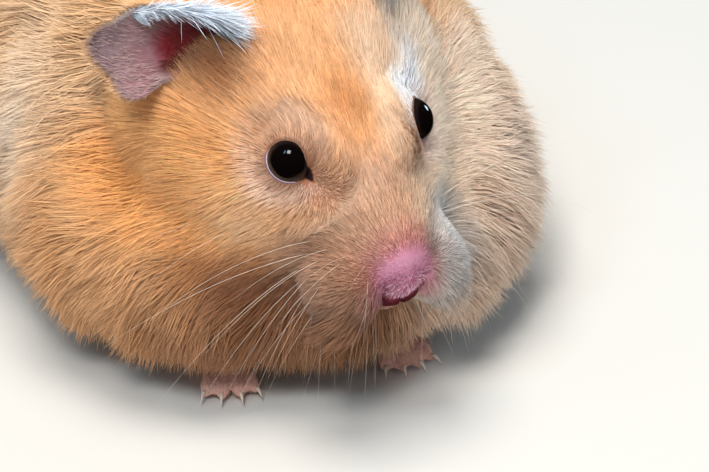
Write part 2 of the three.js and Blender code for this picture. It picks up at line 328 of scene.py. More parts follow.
flesh = bmesh.new()
rounded_body(
    flesh,
    (-17.3, -10.2),
    [
        (-15.6, -9.2, 4.3, 3.8, 4.4, 0),
        (-11, -8.6, 7.4, 6.2, 7.0, 0.2),
        (-5, -7.6, 11.0, 8.4, 10.0, 0.34),
        (1, -6.4, 14.3, 10.2, 12.0, 0.38),
        (8, -5, 17.6, 11.9, 14.0, 0.3),
        (15, -4, 20.0, 13.0, 15.2, 0.2),
        (23, -4, 19.4, 12.6, 14.8, 0.1),
    ],
    (33, -4),
    out_of_head,
    blunt=0.8,
)
rounded_body(
    flesh,
    (-3.5, 20),
    [
        (3, 20, 21.5, 13, 11.5, 0.1),
        (15, 20, 30, 22, 14, 0.16),
        (25, 20.5, 31.8, 30.5, 14.8, 0.18),
        (36, 21, 32.5, 34.5, 15.6, 0.2),
        (56, 22, 33.5, 36, 16.6, 0.16),
        (76, 22, 32.5, 34.8, 16.6, 0.12),
        (94, 22, 25, 27, 15.6, 0.1),
    ],
    (104.5, 22),
    out_of_trunk,
    square=0.75,
)


def melted(bm, steps):
    """Runs the bodies through melting to a grain, swelling by a distance or thinning to a share, in turn."""
    bmesh.ops.scale(bm, verts=bm.verts, vec=(MM, MM, MM))
    bmesh.ops.recalc_face_normals(bm, faces=bm.faces)
    mesh = bpy.data.meshes.new("flesh")
    bm.to_mesh(mesh)
    lump = bpy.data.objects.new("lump", mesh)
    bpy.context.scene.collection.objects.link(lump)
    for kind, size in steps:
        if kind == "melt":
            modifier = lump.modifiers.new("melt", "REMESH")
            modifier.mode = "VOXEL"
            modifier.voxel_size = size * MM
        elif kind == "thin":
            modifier = lump.modifiers.new("thin", "DECIMATE")
            modifier.ratio = size
        else:
            modifier = lump.modifiers.new("swell", "DISPLACE")
            modifier.mid_level = 0
            modifier.strength = size * MM
    result = bpy.data.meshes.new_from_object(lump.evaluated_get(bpy.context.evaluated_depsgraph_get()))
    bpy.data.objects.remove(lump)
    bpy.data.meshes.remove(mesh)
    return result


# The crease between the cheeks and the shoulders is filled, as the loose skin of the neck does.
melt = ("melt", FLESH_GRAIN)
flesh.from_mesh(melted(flesh, [melt, ("swell", NECK_FILL), melt, ("swell", -NECK_FILL), melt]))
bmesh.ops.scale(flesh, verts=flesh.verts, vec=(1 / MM, 1 / MM, 1 / MM))
pebble(flesh, (4.0, 3.5, 5.2), (0, -13.9, -11.6), out_of_head)
pebble(flesh, (4.2, 6.8, 3.2), (0, -9.0, -17.6), out_of_head, turn=(-12, 0, 0))
limb(flesh, (0, 98, 17), (0, 113, 12), 3.0, 1.3, out_of_trunk)
FEET, LEGS, TOE_TIPS = [], [], []
for side in (-1, 1):
    pebble(flesh, (SOCKET, SOCKET, SOCKET), into_head(eye_centre(side)), out_of_head)
    pebble(flesh, (4.0, 8.8, 4.8), (side * 5.9, 0.9, -1.5), out_of_head, turn=(0, 0, side * -15))
    pebble(flesh, (4.9, 6.8, 6.0), (side * 5.15, -11.2, -13.3), out_of_head, turn=(0, 0, side * 24))
    bend = (HAUNCH - BEND_START) / BEND_RADIUS
    hip = out_of_trunk([[side * 22, HAUNCH, 20]])[0] - FRAME_SHIFT
    pebble(flesh, (13.4, 20.5, 14.6), (0, 0, 0), lambda points: in_frame(points @ turn_z(bend).T + hip))
    elbow, wrist = np.array([TRUNK_SHIFT + side * 19, 17, 12]), np.array([TRUNK_SHIFT + side * 12, 7.5, 4.6])
    ankle, heel = hip + [side, 2, -12], hip + [side * 2, 4, -17]
    for start, end, radii in ((elbow, wrist, (6.2, 2.9)), (ankle, heel, (5, 3))):
        limb(flesh, start, end, *radii, in_frame)
        LEGS.append((in_frame(start), in_frame(end)))
    fore = dict(at=[wrist[0], wrist[1] - 1.5, 0], heading=side * 8, palm=(3.7, 4.4, 2.4), toes=4, length=3.6, fan=44)
    hind = dict(
        at=[hip[0] + side * 2, hip[1] - 2, 0], heading=np.degrees(bend) + side * 16, palm=(3.8, 8.4, 2.5), toes=5,
        length=4, fan=46,
    )
    for foot in (fore, hind):
        turned, at, palm = turn_z(np.radians(foot["heading"])), foot["at"], foot["palm"]
        footed = lambda points: in_frame(np.asarray(points) @ turned.T + at)
        FEET.append((in_frame(at), turned, palm))
        pebble(flesh, palm, (0, 0, palm[2] - 0.3), footed)
        for spread in np.linspace(-0.5, 0.5, foot["toes"]):
            angle = np.radians(spread * foot["fan"])
            ahead = np.array([np.sin(angle), -np.cos(angle), 0]) * foot["length"] * (1 - 0.8 * spread**2)
            knuckle = np.array([spread * palm[0] * 1.25, -palm[1] * 0.62, 2.0])
            bones = (knuckle, knuckle + ahead * 0.55, knuckle + ahead - [0, 0, 0.9])
            limb(flesh, bones[0], bones[1], 1.3, 1.05, footed, sides=14, rings=10)
            limb(flesh, bones[1], bones[2], 1.05, 0.95, footed, sides=14, rings=10)
            TOE_TIPS.append((footed([bones[2] + unit(ahead) * 0.6 + [0, 0, 0.25]])[0], turned @ unit(ahead)))

whole = melted(flesh, [("melt", SKIN_GRAIN), ("thin", 0.5)])
flesh.free()

# The melted skin is smoothed, less so at the feet, and made finer round the eyes, nose and mouth.
skin_bm = bmesh.new()
skin_bm.from_mesh(whole)
bpy.data.meshes.remove(whole)
low_verts = [v for v in skin_bm.verts if v.co.z < FOOT_TOP * MM]
high_verts = [v for v in skin_bm.verts if v.co.z >= FOOT_TOP * MM]
for verts, times in ((high_verts, 12), (low_verts, 2)):
    for _ in range(times):
        bmesh.ops.smooth_vert(skin_bm, verts=verts, factor=0.5, use_axis_x=True, use_axis_y=True, use_axis_z=True)
FINE = [(eye_centre(-1), 6.6), (eye_centre(1), 6.6), (out_of_head([0, -16, -12.5]), 6.5)]
for cuts in range(2):
    fine_edges = set()
    for centre, reach in FINE:
        centre, reach = Vector(centre * MM), (reach - 0.8 * cuts) * MM
        fine_edges.update(e for e in skin_bm.edges if (e.verts[0].co - centre).length < reach)
    bmesh.ops.subdivide_edges(skin_bm, edges=list(fine_edges), cuts=1, use_grid_fill=True, smooth=0.0)
bmesh.ops.triangulate(skin_bm, faces=skin_bm.faces)
skin_points = np.array([v.co for v in skin_bm.verts]) / MM
skin_faces = np.array([[v.index for v in f.verts] for f in skin_bm.faces])
skin_bm.free()
skin_points[:, 2] = np.maximum(skin_points[:, 2], FLOOR_GAP)


def ramp(start, end, value):
    share = np.clip((value - start) / (end - start), 0, 1)
    return share * share * (3 - 2 * share)


def normals_of(points):
    a, b, c = (points[skin_faces[:, k]] for k in range(3))
    face = np.cross(b - a, c - a)
    total = [np.bincount(skin_faces.ravel(), np.repeat(face[:, k], 3), len(points)) for k in range(3)]
    return unit(np.stack(total, axis=1))


# Eyelids: a soft rim hugs each eyeball and rolls out into the cheek. The rim opens in a near circle,
# with a narrow corner that points forward and down to the nose.
def round_the_eye(points, side):
    """Angle past the rim of the lids in degrees, distance and offset from the eye, and angle round it."""
    axis = lid_axis(side)
    corner = np.array([-side * 0.41, -0.8, -0.43])
    corner = unit(corner - (corner @ axis) * axis)
    upper = np.cross(axis, corner) * -side
    offset = into_head(points) - into_head(eye_centre(side))
    distance = np.linalg.norm(offset, axis=1)
    from_axis = np.degrees(np.arccos(np.clip(offset @ axis / np.maximum(distance, 1e-6), -1, 1)))
    around = np.degrees(np.arctan2(offset @ upper, offset @ corner))
    open_corner, droop, open_top = (24, 6, 0) if side < 0 else (4, 0, 9)
    rim = 57 + open_corner * np.exp(-((around / 24) ** 2)) - droop * np.exp(-(((around - 62) / 34) ** 2))
    rim = rim + open_top * np.exp(-(((180 - np.abs(around)) / 45) ** 2))
    return from_axis - rim, distance, offset, around


LID_REACH = (4.7, 6.3)
lid_angle = np.full(len(skin_points), 99.0)
lower_lid = np.zeros(len(skin_points))
for side in (-1, 1):
    past_rim, distance, offset, around = round_the_eye(skin_points, side)
    near = (distance < LID_REACH[1]) & (past_rim < 75) & (offset[:, 0] * side > -6)
    lid = EYE_RADIUS - 0.4 + 0.48 * ramp(-2, 0.8, past_rim) + 0.3 * ramp(1, 16, past_rim)
    kept = np.maximum(ramp(5, 34, past_rim), ramp(*LID_REACH, distance))
    wanted = lid * (1 - kept) + np.maximum(distance, EYE_RADIUS + 0.5) * kept
    scale = np.where(near, wanted / np.maximum(distance, 1e-6), 1.0)
    centre = eye_centre(side)
    skin_points = centre + (skin_points - centre) * scale[:, None]
    covered = past_rim + 40 * ramp(3.9, 4.8, distance) + (0 if side < 0 else 2.5)
    lid_angle = np.where(near, covered, lid_angle)
    lower_lid = np.where(near, ramp(8, -14, around) * ramp(-172, -140, around), lower_lid)

# The corner ends in a wedge of painted shade. It runs from the surface straight into the socket.
eye_corner_shade = np.zeros(len(skin_points))
from_eye = into_head(skin_points) - into_head(eye_centre(-1))
into_socket = unit([-0.4414, -0.5884, 0.6775])
for spot, reach in (((1.16, -2.15, -1.12), 0.8), ((1.37, -2.64, -1.39), 0.55), ((1.53, -3.09, -1.69), 0.3)):
    away = from_eye - np.array(spot)
    away = np.linalg.norm(away - np.outer(away @ into_socket, into_socket), axis=1) / reach
    eye_corner_shade = np.maximum(eye_corner_shade, ramp(1.15, 0.75, away) * (np.linalg.norm(from_eye, axis=1) < 6))

# Nose, lip and mouth: comma-shaped nostrils, the cleft below them and the line of the mouth are
# grooves pressed into the muzzle.
def from_path(points, path):
    """The distance of points from a path of straight lengths, in the head's frame."""
    path = np.array(path, float)
    best = np.full(len(points), 99.0)
    for start, end in zip(path[:-1], path[1:]):
        line = end - start
        along = np.clip((points - start) @ line / (line @ line), 0, 1)
        best = np.minimum(best, np.linalg.norm(points - start - along[:, None] * line, axis=1))
    return best


NOSTRIL = np.array([(3.5, -15.6, -11.2), (3.2, -16.1, -12.8), (2.3, -16.7, -14.8), (0, -17.0, -16.2)])
GROOVES = [
    # the path in the head's frame, its depth, its half width and how dark it is painted, partly the damp skin's own
    # dark red and partly painted shade
    (NOSTRIL * [-1, 1, 1], 0.9, 0.45, 1.0),
    (NOSTRIL, 0.9, 0.45, 1.0),
    ([(0, -17.0, -16.2), (0, -16.2, -17.8), (0, -14.8, -19.4)], 0.8, 0.4, 0.8),
    ([(-5.4, -9.4, -18.8), (-3, -13, -19.6), (0, -14.8, -19.4), (3, -13, -19.6), (5.4, -9.4, -18.8)], 0.7, 0.5, 0.7),
]
damp_groove_shade = np.zeros(len(skin_points))
skin_normals = normals_of(skin_points)
muzzle_side = into_head(skin_points)
for path, depth, half_width, dark in GROOVES:
    pressed = np.exp(-((from_path(muzzle_side, path) / half_width) ** 2))
    skin_points = skin_points - skin_normals * (depth * pressed)[:, None]
    damp_groove_shade = np.maximum(damp_groove_shade, dark * np.exp(-((from_path(muzzle_side, path) / half_width / 1.3) ** 2)))
skin_normals = normals_of(skin_points)

# The markings: golden, with orange cheeks, whitish fur over the left eye, a pink nose and a cream belly. By the right
# ear the fur is darker, partly in its own colour and partly by painted shade, and the left side is paler, partly in
# its own colour and partly by painted light. Painted shade also darkens the fur under the right cheek, the lips and
# the breast, and painted light lifts the top of the nose and the dip before the right eye. The skin and the coat share
# them.
def mixed(colour, other, amount):
    return colour + (np.asarray(other, float) - colour) * np.clip(amount, 0, 1)[:, None]


def painted(colour, layers):
    for other, amount in layers:
        colour = mixed(colour, other, amount)
    return colour


def wandering(points, size, seed):
    """A smooth value between about -1 and 1 that changes over distances of about size."""
    waves = np.random.default_rng(seed)
    total = np.zeros(len(points))
    for _ in range(6):
        direction = unit(waves.normal(size=3)) * (2 * np.pi / size) * waves.uniform(0.6, 1.3)
        total += np.sin(points @ direction + waves.uniform(0, 6.3))
    return total / 2.6


def blot(points, centre, radii):
    return np.exp(-np.sum(((points - np.array(centre, float)) / np.array(radii, float)) ** 2, axis=1))


def head_share(points):
    x, y, z = into_head(points).T
    girth = smooth_through([-18, -11, 1, 15, 23, 30], [9, 15, 18, 22, 22, 22], y)
    throat = np.interp(y, [-18, 0, 10, 20], [-22, -19.5, -17, -13])
    within = ramp(1.3, 1.1, np.hypot(x, z + 5.5) / girth)
    return within * ramp(throat - 1.5, throat + 1.5, z) * ramp(27, 17, y)


def near_legs(points):
    best = np.full(len(points), 99.0)
    for start, end in LEGS:
        best = np.minimum(best, from_path(points, [start, end]))
    return ramp(8.5, 5.5, best) * ramp(16, 9, points[:, 2])


def near_feet(points):
    best = np.full(len(points), 9.0)
    for at, turned, palm in FEET:
        local = (points - at) @ turned
        size = np.array([palm[0] + 2.6, palm[1] + 3.4, 5.2])
        best = np.minimum(best, np.linalg.norm((local + [0, 1.6, 0]) / size, axis=1))
    return ramp(1.25, 0.95, best)


NOSE_PINK = (248, 170, 206)


def markings(points):
    h, t = into_head(points), into_trunk(points)
    x, y, z = h.T
    head = head_share(points)
    drift = wandering(points, 16, 3)
    body = painted(
        np.tile([222.0, 174, 124], (len(points), 1)),
        [
            ((216, 156, 98), 0.6 * ramp(8, 26, np.abs(t[:, 0])) * ramp(60, 30, t[:, 2])),  # flanks
            ((212, 176, 142), 0.4 + 0.3 * drift),  # all over, more in some places than in others
            ((216, 150, 92), 0.75 * ramp(36, 14, t[:, 1]) * ramp(44, 28, t[:, 2])),  # shoulders
            ((240, 220, 200), 0.85 * blot(t, (-27, 31, 32), (10, 9, 10))),  # a pale patch behind the right cheek
            ((132, 78, 44), 0.85 * ramp(7, -2, t[:, 1]) * ramp(27, 18, t[:, 2])),  # breast, darkened by painted shade
            ((218, 188, 164), ramp(3, 16, t[:, 0]) * ramp(34, 14, t[:, 1])),  # left shoulder, paler by painted light
            ((232, 212, 186), ramp(14, 7, t[:, 2]) * ramp(2, 12, t[:, 1])),  # belly
        ],
    )
    face = painted(
        np.tile([224.0, 164, 112], (len(points), 1)),
        [
            ((228, 160, 98), 0.8 * ramp(9, 17, y)),  # nape
            ((242, 170, 100), ramp(5, -4, z) * ramp(-8, 3, y) * ramp(7, 13, np.abs(x))),  # cheeks
            ((132, 76, 44), ramp(-11, -18, z) * ramp(8, -2, y) * ramp(4, 8, -x)),  # under the right cheek, darker partly in its own colour and partly by painted shade
            ((204, 160, 130), ramp(-3, -9, y) * ramp(-12, -5, z)),  # muzzle
            ((240, 196, 162), 0.7 * blot(h, (-5.6, -7.2, -2.6), (2.6, 2.8, 3))),  # painted light lifting the shaded dip before the right eye
            ((224, 190, 158), 0.9 * ramp(0, 5, x) * ramp(14, 8, y)),  # left half of the forehead, partly its own paler cream and partly painted light
            ((244, 212, 184), ramp(8, 11, x) * ramp(22, 14, y)),  # left cheek, paler by painted light
            ((222, 226, 234), blot(h, (12.2, 4.8, 1.4), (2.2, 4.4, 2.8))),  # the white streak over the left eye
            ((250, 204, 166), 0.6 * blot(h, (-13.5, -1, -8.5), (5, 5, 4.5))),  # below and behind the right eye
            ((86, 40, 18), 0.85 * blot(h, (-13.8, 13.4, 4.6), (2.4, 2.8, 4))),  # in the right ear's root, partly its own dark colour and partly painted shade
            ((206, 136, 80), 0.9 * blot(h, (-0.7, 0.6, 4), (2.4, 4.5, 5))),  # between the eyes
            ((132, 68, 28), 0.95 * blot(h, (-11.0, 11.0, 5.0), (3.2, 3.4, 5))),  # before the right ear, partly its own darker colour and partly painted shade from the ear
            ((176, 130, 102), ramp(-3, -9, y) * ramp(-5, -9, z) * ramp(1, -2, x)),  # right pad
            ((132, 88, 64), ramp(-5, -10, y) * ramp(-11, -16, z) * ramp(-2, -5, x)),  # right lip, darkened by painted shade
            ((198, 191, 188), ramp(-3, -9, y) * ramp(-4, -9, z) * ramp(1, 4, x)),  # left pad
        ],
    )
    for side in (-1, 1):
        distance, offset = round_the_eye(points, side)[1:3]
        above = ramp(-2, 2.5, offset[:, 2])
        face = mixed(face, (244, 208, 192), 0.75 * ramp(7.6, 4.4, distance) * (1 - above))
        brow = (188, 146, 120) if side < 0 else (222, 226, 234)
        near_brow = above if side < 0 else above * ramp(6, 8.5, x)
        face = mixed(face, brow, 0.85 * ramp(7.4, 4.6, distance) * near_brow)
    near_lip = ramp(-11.5, -14.5, z) * ramp(0.5, -1.5, x)
    pink_width = 4.6 - 0.9 * ramp(0, 3, x) - 1.9 * near_lip
    pink_reach = np.stack([pink_width, np.full(len(x), 5.4), np.full(len(x), 5.0)], axis=1)
    from_nose = np.linalg.norm((h - [0, -16.2, -11.2]) / pink_reach, axis=1)
    face = painted(
        face,
        [
            ((212, 150, 142), 0.9 * ramp(1.75, 1.1, from_nose) * (1 - 0.6 * ramp(2, 6, x))),  # round the nose
            (NOSE_PINK, ramp(1.3, 0.75, from_nose) * ramp(-18.5, -15.8, z)),  # nose
            ((252, 188, 216), ramp(1.2, 0.7, from_nose) * ramp(-11.5, -8, z)),  # top of the nose, lighter by painted light where it faces up
            ((104, 56, 50), blot(h, (-2.4, -15.4, -15.9), (1.7, 2.6, 2.4))),  # painted shadow on the lip under the nose
            ((136, 74, 66), 0.9 * blot(h, (-4.2, -14.8, -14.2), (2.0, 3.0, 2.8))),  # beside the right nostril, partly damp dark skin and partly painted shade
            ((206, 176, 150), ramp(-16, -20, z) * ramp(9, 5, np.abs(x))),  # chin
        ],
    )
    colour = body + (face - body) * head[:, None]
    colour = mixed(colour, (232, 206, 176), 0.6 * near_legs(points))
    return mixed(colour, (226, 176, 160), near_feet(points)) + (5 * wandering(points, 5, 8))[:, None]


def to_linear(colour):
    return srgb(*np.clip(colour, 2, 253).T).T


fur_colour = markings(skin_points)
from_tip = np.linalg.norm((into_head(skin_points) - [0, -16.0, -11.4]) / [4.2, 4.4, 5.2], axis=1)
bare = np.maximum.reduce([near_feet(skin_points), ramp(1.2, 0.8, from_tip), ramp(16, 8, lid_angle)])
# Under the fur the skin is painted darker, as painted shade among the roots; where it is bare it keeps the fur's
# colour.
skin_colour = mixed(fur_colour * [0.76, 0.62, 0.52], fur_colour, bare)
eye_distance = np.min([round_the_eye(skin_points, side)[1] for side in (-1, 1)], axis=0)
# A brown band of painted shade round the lids stands for the shaded fur under the brows; on the lower lids it turns
# lilac.
band = ramp(15, 5, lid_angle) * ramp(-1, 1.5, lid_angle)
# A painted highlight runs along the wet rim of the lower lids.
wet_highlight = ramp(2.6, 1.6, lid_angle) * ramp(-0.2, 0.5, lid_angle)
wet_highlight = wet_highlight * ramp(4.0, 3.6, eye_distance) * lower_lid
# The eye's corner and the inner edge of the lids get painted shade, and the grooves of the nose and mouth get their
# damp dark red, deepened by painted shade.
skin_colour = painted(
    skin_colour,
    [
        ((118, 80, 60), band),
        ((152, 112, 126), band * lower_lid),
        ((228, 222, 236), wet_highlight),
        ((44, 18, 26), eye_corner_shade),
        ((46, 22, 26), ramp(0.5, -1.5, lid_angle)),
        ((92, 24, 34), damp_groove_shade),
    ],
)

skin = bpy.data.meshes.new("skin")
skin.from_pydata([tuple(p) for p in skin_points * MM], [], skin_faces.tolist())
coloured(skin, to_linear(skin_colour))
skin_finish = finish_of("soft skin", 0.5, swing=0.25, shade=0.35, fineness=2400, bump=0.5, Specular_IOR_Level=0.32)
skin_piece = placed_mesh("skin", skin, skin_finish)
flesh_nodes = [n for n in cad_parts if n.split("_")[0] in ("head", "neck", "trunk", "tail")]
flesh_nodes += [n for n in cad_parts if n.split("_")[0] in ("foreleg", "hindleg", "forepaw", "hindfoot")]
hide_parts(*flesh_nodes)

# ---- Nose pad ---------------------------------------------------------------------------------------
# The small bare pad between the nostrils, of damp, dark pink skin with a fine grain and a cleft below.
# It is pressed in at the nostrils and let into the front of the muzzle.
bm = bmesh.new()
pad = pebble(bm, (3.9, 1.0, 1.7), (0.1, -15.8, -14.6), out_of_head, turn=(-30, 0, 0), sides=64, rings=48)
local = into_head(pad)
cleft = np.exp(-((local[:, 0] / 0.3) ** 2)) * ramp(-14.2, -15.2, local[:, 2])
nostril = sum(blot(local, (side * 3.1, -16.2, -14.8), (0.8, 1.4, 0.9)) for side in (-1, 1))
pressed = pad + (out_of_head([[0, 1, 0]]) - HEAD_ORIGIN) * (0.4 * cleft + 0.5 * nostril)[:, None]
shaped(bm.verts, pressed * MM)
bmesh.ops.recalc_face_normals(bm, faces=bm.faces)
damp = finish_of("damp nose", 0.38, swing=0.2, shade=0.3, fineness=3600, bump=0.7, Specular_IOR_Level=0.42)
nose = placed("nose_pad", bm, damp)
# The pad darkens to dark red in the cleft, in the nostrils and towards its lower edge, partly its own damp dark skin
# and partly painted shade.
shade = np.clip(cleft + nostril + ramp(-13.9, -15.2, local[:, 2]), 0, 1)
coloured(nose.data, to_linear(mixed(np.tile([176.0, 84, 104], (len(pad), 1)), (96, 18, 32), shade)))
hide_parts("nose")

# ---- Ears -------------------------------------------------------------------------------------------
# Thin cupped leaves of mauve skin. The right one lies out sideways with its fore edge folded over, and
# the left one stands up more. Each has a dark red canal at its root.
EARS = {
    "right": dict(side=-1, root=(-15, 15.4, 5.5), along=(-0.887, 0.443, 0.121), facing=(-0.26, -0.7, 0.66)),
    "left": dict(side=1, root=(14.4, 17, 6), along=(0.7, 0.42, 0.58), facing=(0.3, -0.85, 0.35)),
}
# The outline of a leaf, as angles from the tip towards the fore edge and reaches from its middle.
EAR_OUTLINE = np.array(
    [(-180, 6.0), (-150, 3.6), (-110, 3.0), (-84, 3.9), (-66, 6.6), (-54, 7.8), (-28, 7.8)]
    + [(0, 10.3), (27, 7.6), (64, 7), (103, 7.2), (140, 8.0), (180, 6.0)]
)
EAR_MIDDLE = 4
EAR_THICKNESS = 0.5


def ear_axes(ear):
    tipward = unit(ear["along"])
    foreward = unit(np.cross(tipward, ear["facing"])) * -ear["side"]
    return tipward, foreward, np.cross(foreward, tipward) * -ear["side"]


def on_ear(ear, length, breadth, height):
    """length runs to the tip, breadth to the fore edge and height off the middle of the leaf."""
    tipward, foreward, hollow = ear_axes(ear)
    curl = np.maximum(breadth - 4.6, 0)
    cup = height - 1.5 + 0.06 * breadth**2 + 0.02 * (length - 4) ** 2 + 0.25 * curl**2
    cup = cup + 0.12 * np.sin(length * 1.1) * ramp(1, 4, np.abs(breadth))
    spot = np.array(ear["root"], float) + np.outer(length, tipward)
    spot = spot + np.outer(breadth - 0.3 * curl**1.5, foreward) + np.outer(cup, hollow)
    return out_of_head(spot)


def from_canal(length, breadth):
    return np.minimum(np.hypot(length - 2.6, breadth - 1.2), np.hypot(length + 0.2, breadth - 2.8))


ear_finish = finish_of(
    "ear skin", 0.5, swing=0.2, shade=0.4, fineness=1500, bump=0.5, Specular_IOR_Level=0.35, Subsurface_Weight=0.15
)
ear_finish.node_tree.nodes["Principled BSDF"].inputs["Subsurface Scale"].default_value = 0.001
for ear_name, ear in EARS.items():
    bm = bmesh.new()
    verts, ball = fresh_ball(bm, 96, 40)
    spread, angle = np.hypot(ball[:, 0], ball[:, 1]), np.arctan2(ball[:, 1], ball[:, 0])
    reach = smooth_through(EAR_OUTLINE[:, 0], EAR_OUTLINE[:, 1], np.degrees(angle)) * spread**0.8
    length, breadth = EAR_MIDDLE + reach * np.cos(angle), reach * np.sin(angle)
    height = np.sign(ball[:, 2]) * np.abs(ball[:, 2]) ** 0.4 * EAR_THICKNESS / 2
    shaped(verts, on_ear(ear, length, breadth, height) * MM)
    bmesh.ops.recalc_face_normals(bm, faces=bm.faces)
    leaf = placed(f"ear_leaf_{ear_name}", bm, ear_finish)
    tint = painted(
        np.tile([150.0, 106, 110], (len(ball), 1)),
        [
            ((132, 108, 112), ramp(6, 12, length)),
            ((172, 98, 72), ramp(1.5, -1.5, length) * ramp(1, -1.5, breadth)),
            ((112, 8, 18), (ball[:, 2] > 0) * ramp(4.2, 1.2, from_canal(length, breadth))),
            ((84, 66, 68), ramp(12.6, 13.8, length) * ramp(3, 1, np.abs(breadth - 1))),
            ((222, 170, 120), (ball[:, 2] < 0) * 0.7),
        ],
    )
    coloured(leaf.data, to_linear(tint + (6 * wandering(on_ear(ear, length, breadth, height), 2.2, 5))[:, None]))
    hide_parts(f"ear_{ear_name}")

# ---- Claws ------------------------------------------------------------------------------------------
# Small curved claws of pale horn, one at the end of each toe. Each is set into its toe and ends in a
# point just clear of the floor.
bm = bmesh.new()
for tip, ahead in TOE_TIPS:
    sideways = np.cross([0, 0, 1], ahead)
    for vert in bmesh.ops.create_uvsphere(bm, u_segments=10, v_segments=12, radius=1.0)["verts"]:
        across_claw, up_claw, share = vert.co.x, vert.co.y, (vert.co.z + 1) / 2
        thick = 0.46 * (1 - share) ** 0.6
        spot = tip + ahead * (2.3 * share - 0.5) + sideways * across_claw * thick * 0.8
        spot = spot + np.array([0, 0, 1]) * (up_claw * thick + 0.35 * np.sin(share * 2.6) - 0.75 * share**2)
        spot[2] = max(spot[2], FLOOR_GAP)
        vert.co = spot * MM
bmesh.ops.recalc_face_normals(bm, faces=bm.faces)
HORN = srgb(226, 200, 178)
horn = finish_of(
    "claw horn", 0.32, swing=0.15, shade=0.3, fineness=2600, bump=0.2, plain=HORN, Subsurface_Weight=0.2
)
placed("claws", bm, horn)

# ---- Coat -------------------------------------------------------------------------------------------
# Soft fur of fine tapering hairs in small locks. It starts as a velvet nap on the nose, is short and
# sleek on the face, and grows long and loose on the cheeks, neck and body.
rng = np.random.default_rng(19)
corner_pairs = np.concatenate([skin_faces[:, [0, 1]], skin_faces[:, [1, 2]], skin_faces[:, [2, 0]]])
skin_edges = np.unique(np.sort(corner_pairs, axis=1), axis=0)
neighbours = np.bincount(skin_edges.ravel(), minlength=len(skin_points)).astype(float)


def evened(values, times):
    """Spreads values from vertex to vertex over the skin."""
    flat = np.array(values, float).reshape(len(skin_points), -1)
    a, b = skin_edges.T
    for _ in range(times):
        for k in range(flat.shape[1]):
            total = np.bincount(a, flat[b, k], len(flat)) + np.bincount(b, flat[a, k], len(flat))
            flat[:, k] = 0.4 * flat[:, k] + 0.6 * total / neighbours
    return flat.reshape(np.shape(values))


def lie_of_the_coat(points, normals):
    """The way the hair lies: back from the nose, round the eyes, back and down the body, down the legs."""
    h, t = into_head(points), into_trunk(points)
    x, y, z = h.T
    face = unit(h - [0.4, -17.8, -10.6])
    drop = 1.1 * ramp(3, -12, z) * ramp(-13, 2, y) * ramp(2, 8, np.abs(x))
    face = face + np.outer(drop, [0, 0, -1]) + np.outer(0.25 * drop * np.sign(x), [1, 0, 0])
    pads = ramp(-5, -9, y) * ramp(-9, -12, z) * ramp(2.5, 4.5, np.abs(x))
    face = face + np.outer(0.8 * pads, [0, 0.1, -1])
    for side in (-1, 1):
        past_rim, distance, offset, _ = round_the_eye(points, side)
        outward = unit(offset - np.outer(offset @ lid_axis(side), lid_axis(side)))
        face = face + outward * (1.5 * np.exp(-((np.maximum(past_rim, 0) / 26) ** 2)) * (distance < 10))[:, None]
    hang = smooth_through([-10, 10, 30, 60, 110], [1.4, 1.4, 1.0, 0.6, 0.5], t[:, 1])
    slope = hang * np.clip(np.abs(t[:, 0]) / 24, 0, 1)
    angle = np.maximum(t[:, 1] - BEND_START, 0) / BEND_RADIUS
    ahead = np.stack([-np.sin(angle), np.cos(angle), -slope], axis=1)
    head = head_share(points)[:, None]
    flow = unit(face @ HEAD_AXES.T) * head + unit(ahead) * (1 - head)
    legs = near_legs(points)[:, None]
    flow = flow * (1 - legs) + legs * np.array([0, -0.25, -1.0])
    best, toward = np.full(len(points), 99.0), np.zeros((len(points), 3))
    for at, turned, _ in FEET:
        far = np.linalg.norm(points - at, axis=1)
        toward[far < best] = turned @ [0, -1, -0.15]
        best = np.minimum(best, far)
    feet = near_feet(points)[:, None]
    flow = flow * (1 - feet) + feet * toward
    flow = evened(flow, 12)
    return unit(flow - np.sum(flow * normals, axis=1)[:, None] * normals)


def length_of_hair(points):
    h, t = into_head(points), into_trunk(points)
    x, y, z = h.T
    face = smooth_through([-18, -14, -10, -5, 0, 5, 10, 16, 24], [0.7, 1.0, 1.9, 2.6, 3.2, 3.9, 4.8, 6.4, 8], y)
    face = face * (1 + 0.75 * ramp(-3, -13, z) * ramp(-8, 4, y))
    for side in (-1, 1):
        past_rim, distance = round_the_eye(points, side)[:2]
        face = np.where(distance < 8, np.minimum(face, 0.5 + 0.085 * np.maximum(past_rim, 0)), face)
    pads = ramp(-9, -12.5, z) * ramp(-3, -6, y) * ramp(2.5, 5, np.abs(x))
    face = face + 1.6 * pads
    nose = np.linalg.norm((h - [0, -16.0, -11.6]) / [4.4, 5.0, 5.4], axis=1)
    face = np.minimum(face, 0.7 + 0.9 * ramp(-10, -13, z) + 2.4 * np.maximum(nose - 0.85, 0))
    body = smooth_through([-10, 10, 30, 60, 90, 110], [9, 11, 12, 12, 12, 10], t[:, 1])
    body = body * (1 - 0.45 * ramp(16, 8, t[:, 2]))
    head = head_share(points)
    length = face * head + body * (1 - head)
    length = length * (1 - 0.55 * near_legs(points))
    tail = ramp(5, 3.4, from_path(t, [(0, 103, 15), (0, 113, 12)])) * ramp(100, 106, t[:, 1])
    length = length * (1 - tail) + 1.6 * tail
    feet = near_feet(points)
    return length * (1 - feet) + 1.0 * feet


